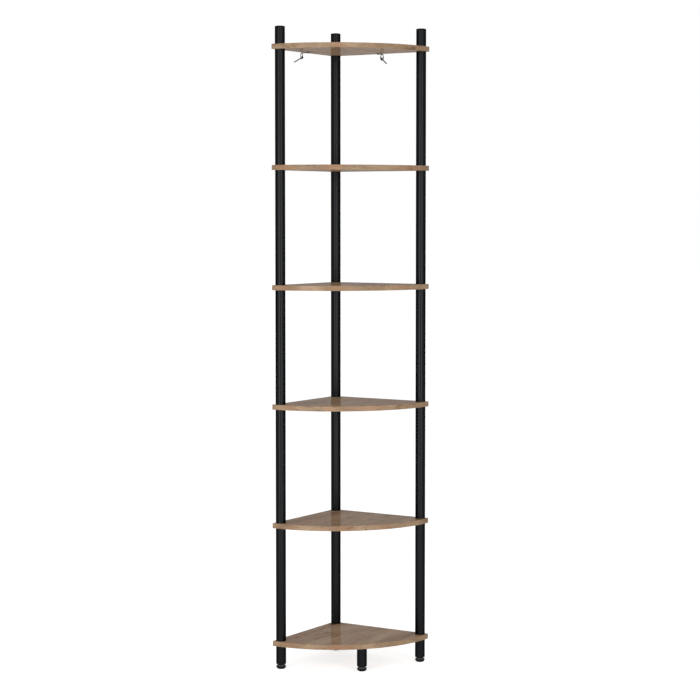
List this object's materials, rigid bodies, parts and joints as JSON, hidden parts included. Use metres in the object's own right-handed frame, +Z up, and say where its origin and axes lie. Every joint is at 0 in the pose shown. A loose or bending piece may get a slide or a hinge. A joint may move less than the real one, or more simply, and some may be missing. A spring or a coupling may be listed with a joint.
{
  "type": "corner shelf unit",
  "caption": "Free-standing quarter-round corner shelf unit: wood-look boards on black tube columns, with levelling feet and wall brackets.",
  "frame": {"origin": "on the floor, under the middle of the unit's box with its wall screws", "axes": "+Z up; +X along the back wall away from the corner; -Y along the left wall away from the corner, so the corner column is at -X +Y and the round front faces +X -Y"},
  "size_m": [0.4032, 0.4032, 2.053],
  "materials": {
    "oak_laminate": "satin oak-look laminate on chipboard",
    "oak_edging": "oak-look edging strip",
    "black_paint": "satin black powder coat on steel tube",
    "black_plastic": "matt black moulded plastic",
    "zinc_steel": "bright zinc plate",
    "dark_screw": "dark screw steel"
  },
  "bodies": {
    "frame": {"shelf_1": "oak_laminate", "shelf_1_edging": "oak_edging", "shelf_2": "oak_laminate", "shelf_2_edging": "oak_edging", "shelf_3": "oak_laminate", "shelf_3_edging": "oak_edging", "shelf_4": "oak_laminate", "shelf_4_edging": "oak_edging", "shelf_5": "oak_laminate", "shelf_5_edging": "oak_edging", "shelf_6": "oak_laminate", "shelf_6_edging": "oak_edging", "left_tube_1": "black_paint", "left_tube_2": "black_paint", "left_tube_3": "black_paint", "left_tube_4": "black_paint", "left_tube_5": "black_paint", "left_top_stub": "black_paint", "left_top_cap": "black_plastic", "rear_tube_1": "black_paint", "rear_tube_2": "black_paint", "rear_tube_3": "black_paint", "rear_tube_4": "black_paint", "rear_tube_5": "black_paint", "rear_top_stub": "black_paint", "rear_top_cap": "black_plastic", "right_tube_1": "black_paint", "right_tube_2": "black_paint", "right_tube_3": "black_paint", "right_tube_4": "black_paint", "right_tube_5": "black_paint", "right_top_stub": "black_paint", "right_top_cap": "black_plastic", "left_leg": "black_paint", "left_leg_plug": "black_plastic", "rear_leg": "black_paint", "rear_leg_plug": "black_plastic", "right_leg": "black_paint", "right_leg_plug": "black_plastic", "front_leg": "black_paint", "front_leg_plug": "black_plastic", "front_leg_insert": "zinc_steel", "back_wall_bracket": "zinc_steel", "back_bracket_screw": "zinc_steel", "left_wall_bracket": "zinc_steel", "left_bracket_screw": "zinc_steel"},
    "left_foot_stem": {"left_foot_stem": "zinc_steel"},
    "left_foot_pad": {"left_foot_pad": "black_plastic"},
    "rear_foot_stem": {"rear_foot_stem": "zinc_steel"},
    "rear_foot_pad": {"rear_foot_pad": "black_plastic"},
    "right_foot_stem": {"right_foot_stem": "zinc_steel"},
    "right_foot_pad": {"right_foot_pad": "black_plastic"},
    "front_foot_stem": {"front_foot_stem": "zinc_steel"},
    "front_foot_pad": {"front_foot_pad": "black_plastic"},
    "back_wall_screw": {"back_wall_screw": "dark_screw"},
    "left_wall_screw": {"left_wall_screw": "dark_screw"}
  },
  "joints": [
    {"name": "left_foot_lift", "type": "slide", "parent": "frame", "child": "left_foot_stem", "axis": [0, 0, -1], "range_m": [0, 0.01]},
    {"name": "left_foot_turn", "type": "hinge", "parent": "left_foot_stem", "child": "left_foot_pad", "pos_m": [-0.14393, -0.18207, 0.0064], "axis": [0, 0, -1], "range_deg": [0, 2880]},
    {"name": "rear_foot_lift", "type": "slide", "parent": "frame", "child": "rear_foot_stem", "axis": [0, 0, -1], "range_m": [0, 0.01]},
    {"name": "rear_foot_turn", "type": "hinge", "parent": "rear_foot_stem", "child": "rear_foot_pad", "pos_m": [-0.14393, 0.14393, 0.0064], "axis": [0, 0, -1], "range_deg": [0, 2880]},
    {"name": "right_foot_lift", "type": "slide", "parent": "frame", "child": "right_foot_stem", "axis": [0, 0, -1], "range_m": [0, 0.01]},
    {"name": "right_foot_turn", "type": "hinge", "parent": "right_foot_stem", "child": "right_foot_pad", "pos_m": [0.18207, 0.14393, 0.0064], "axis": [0, 0, -1], "range_deg": [0, 2880]},
    {"name": "front_foot_lift", "type": "slide", "parent": "frame", "child": "front_foot_stem", "axis": [0, 0, -1], "range_m": [0, 0.01]},
    {"name": "front_foot_turn", "type": "hinge", "parent": "front_foot_stem", "child": "front_foot_pad", "pos_m": [0.09398, -0.07253, 0.0064], "axis": [0, 0, -1], "range_deg": [0, 2880]},
    {"name": "back_wall_screw_slide", "type": "slide", "parent": "frame", "child": "back_wall_screw", "axis": [0, 0, 1], "range_m": [0, 0.008]},
    {"name": "left_wall_screw_slide", "type": "slide", "parent": "frame", "child": "left_wall_screw", "axis": [0, 0, 1], "range_m": [0, 0.008]}
  ],
  "couplings": [
    {"joint": "left_foot_lift", "follows": "left_foot_turn", "m_per_rad": 0.00019894},
    {"joint": "rear_foot_lift", "follows": "rear_foot_turn", "m_per_rad": 0.00019894},
    {"joint": "right_foot_lift", "follows": "right_foot_turn", "m_per_rad": 0.00019894},
    {"joint": "front_foot_lift", "follows": "front_foot_turn", "m_per_rad": 0.00019894}
  ]
}
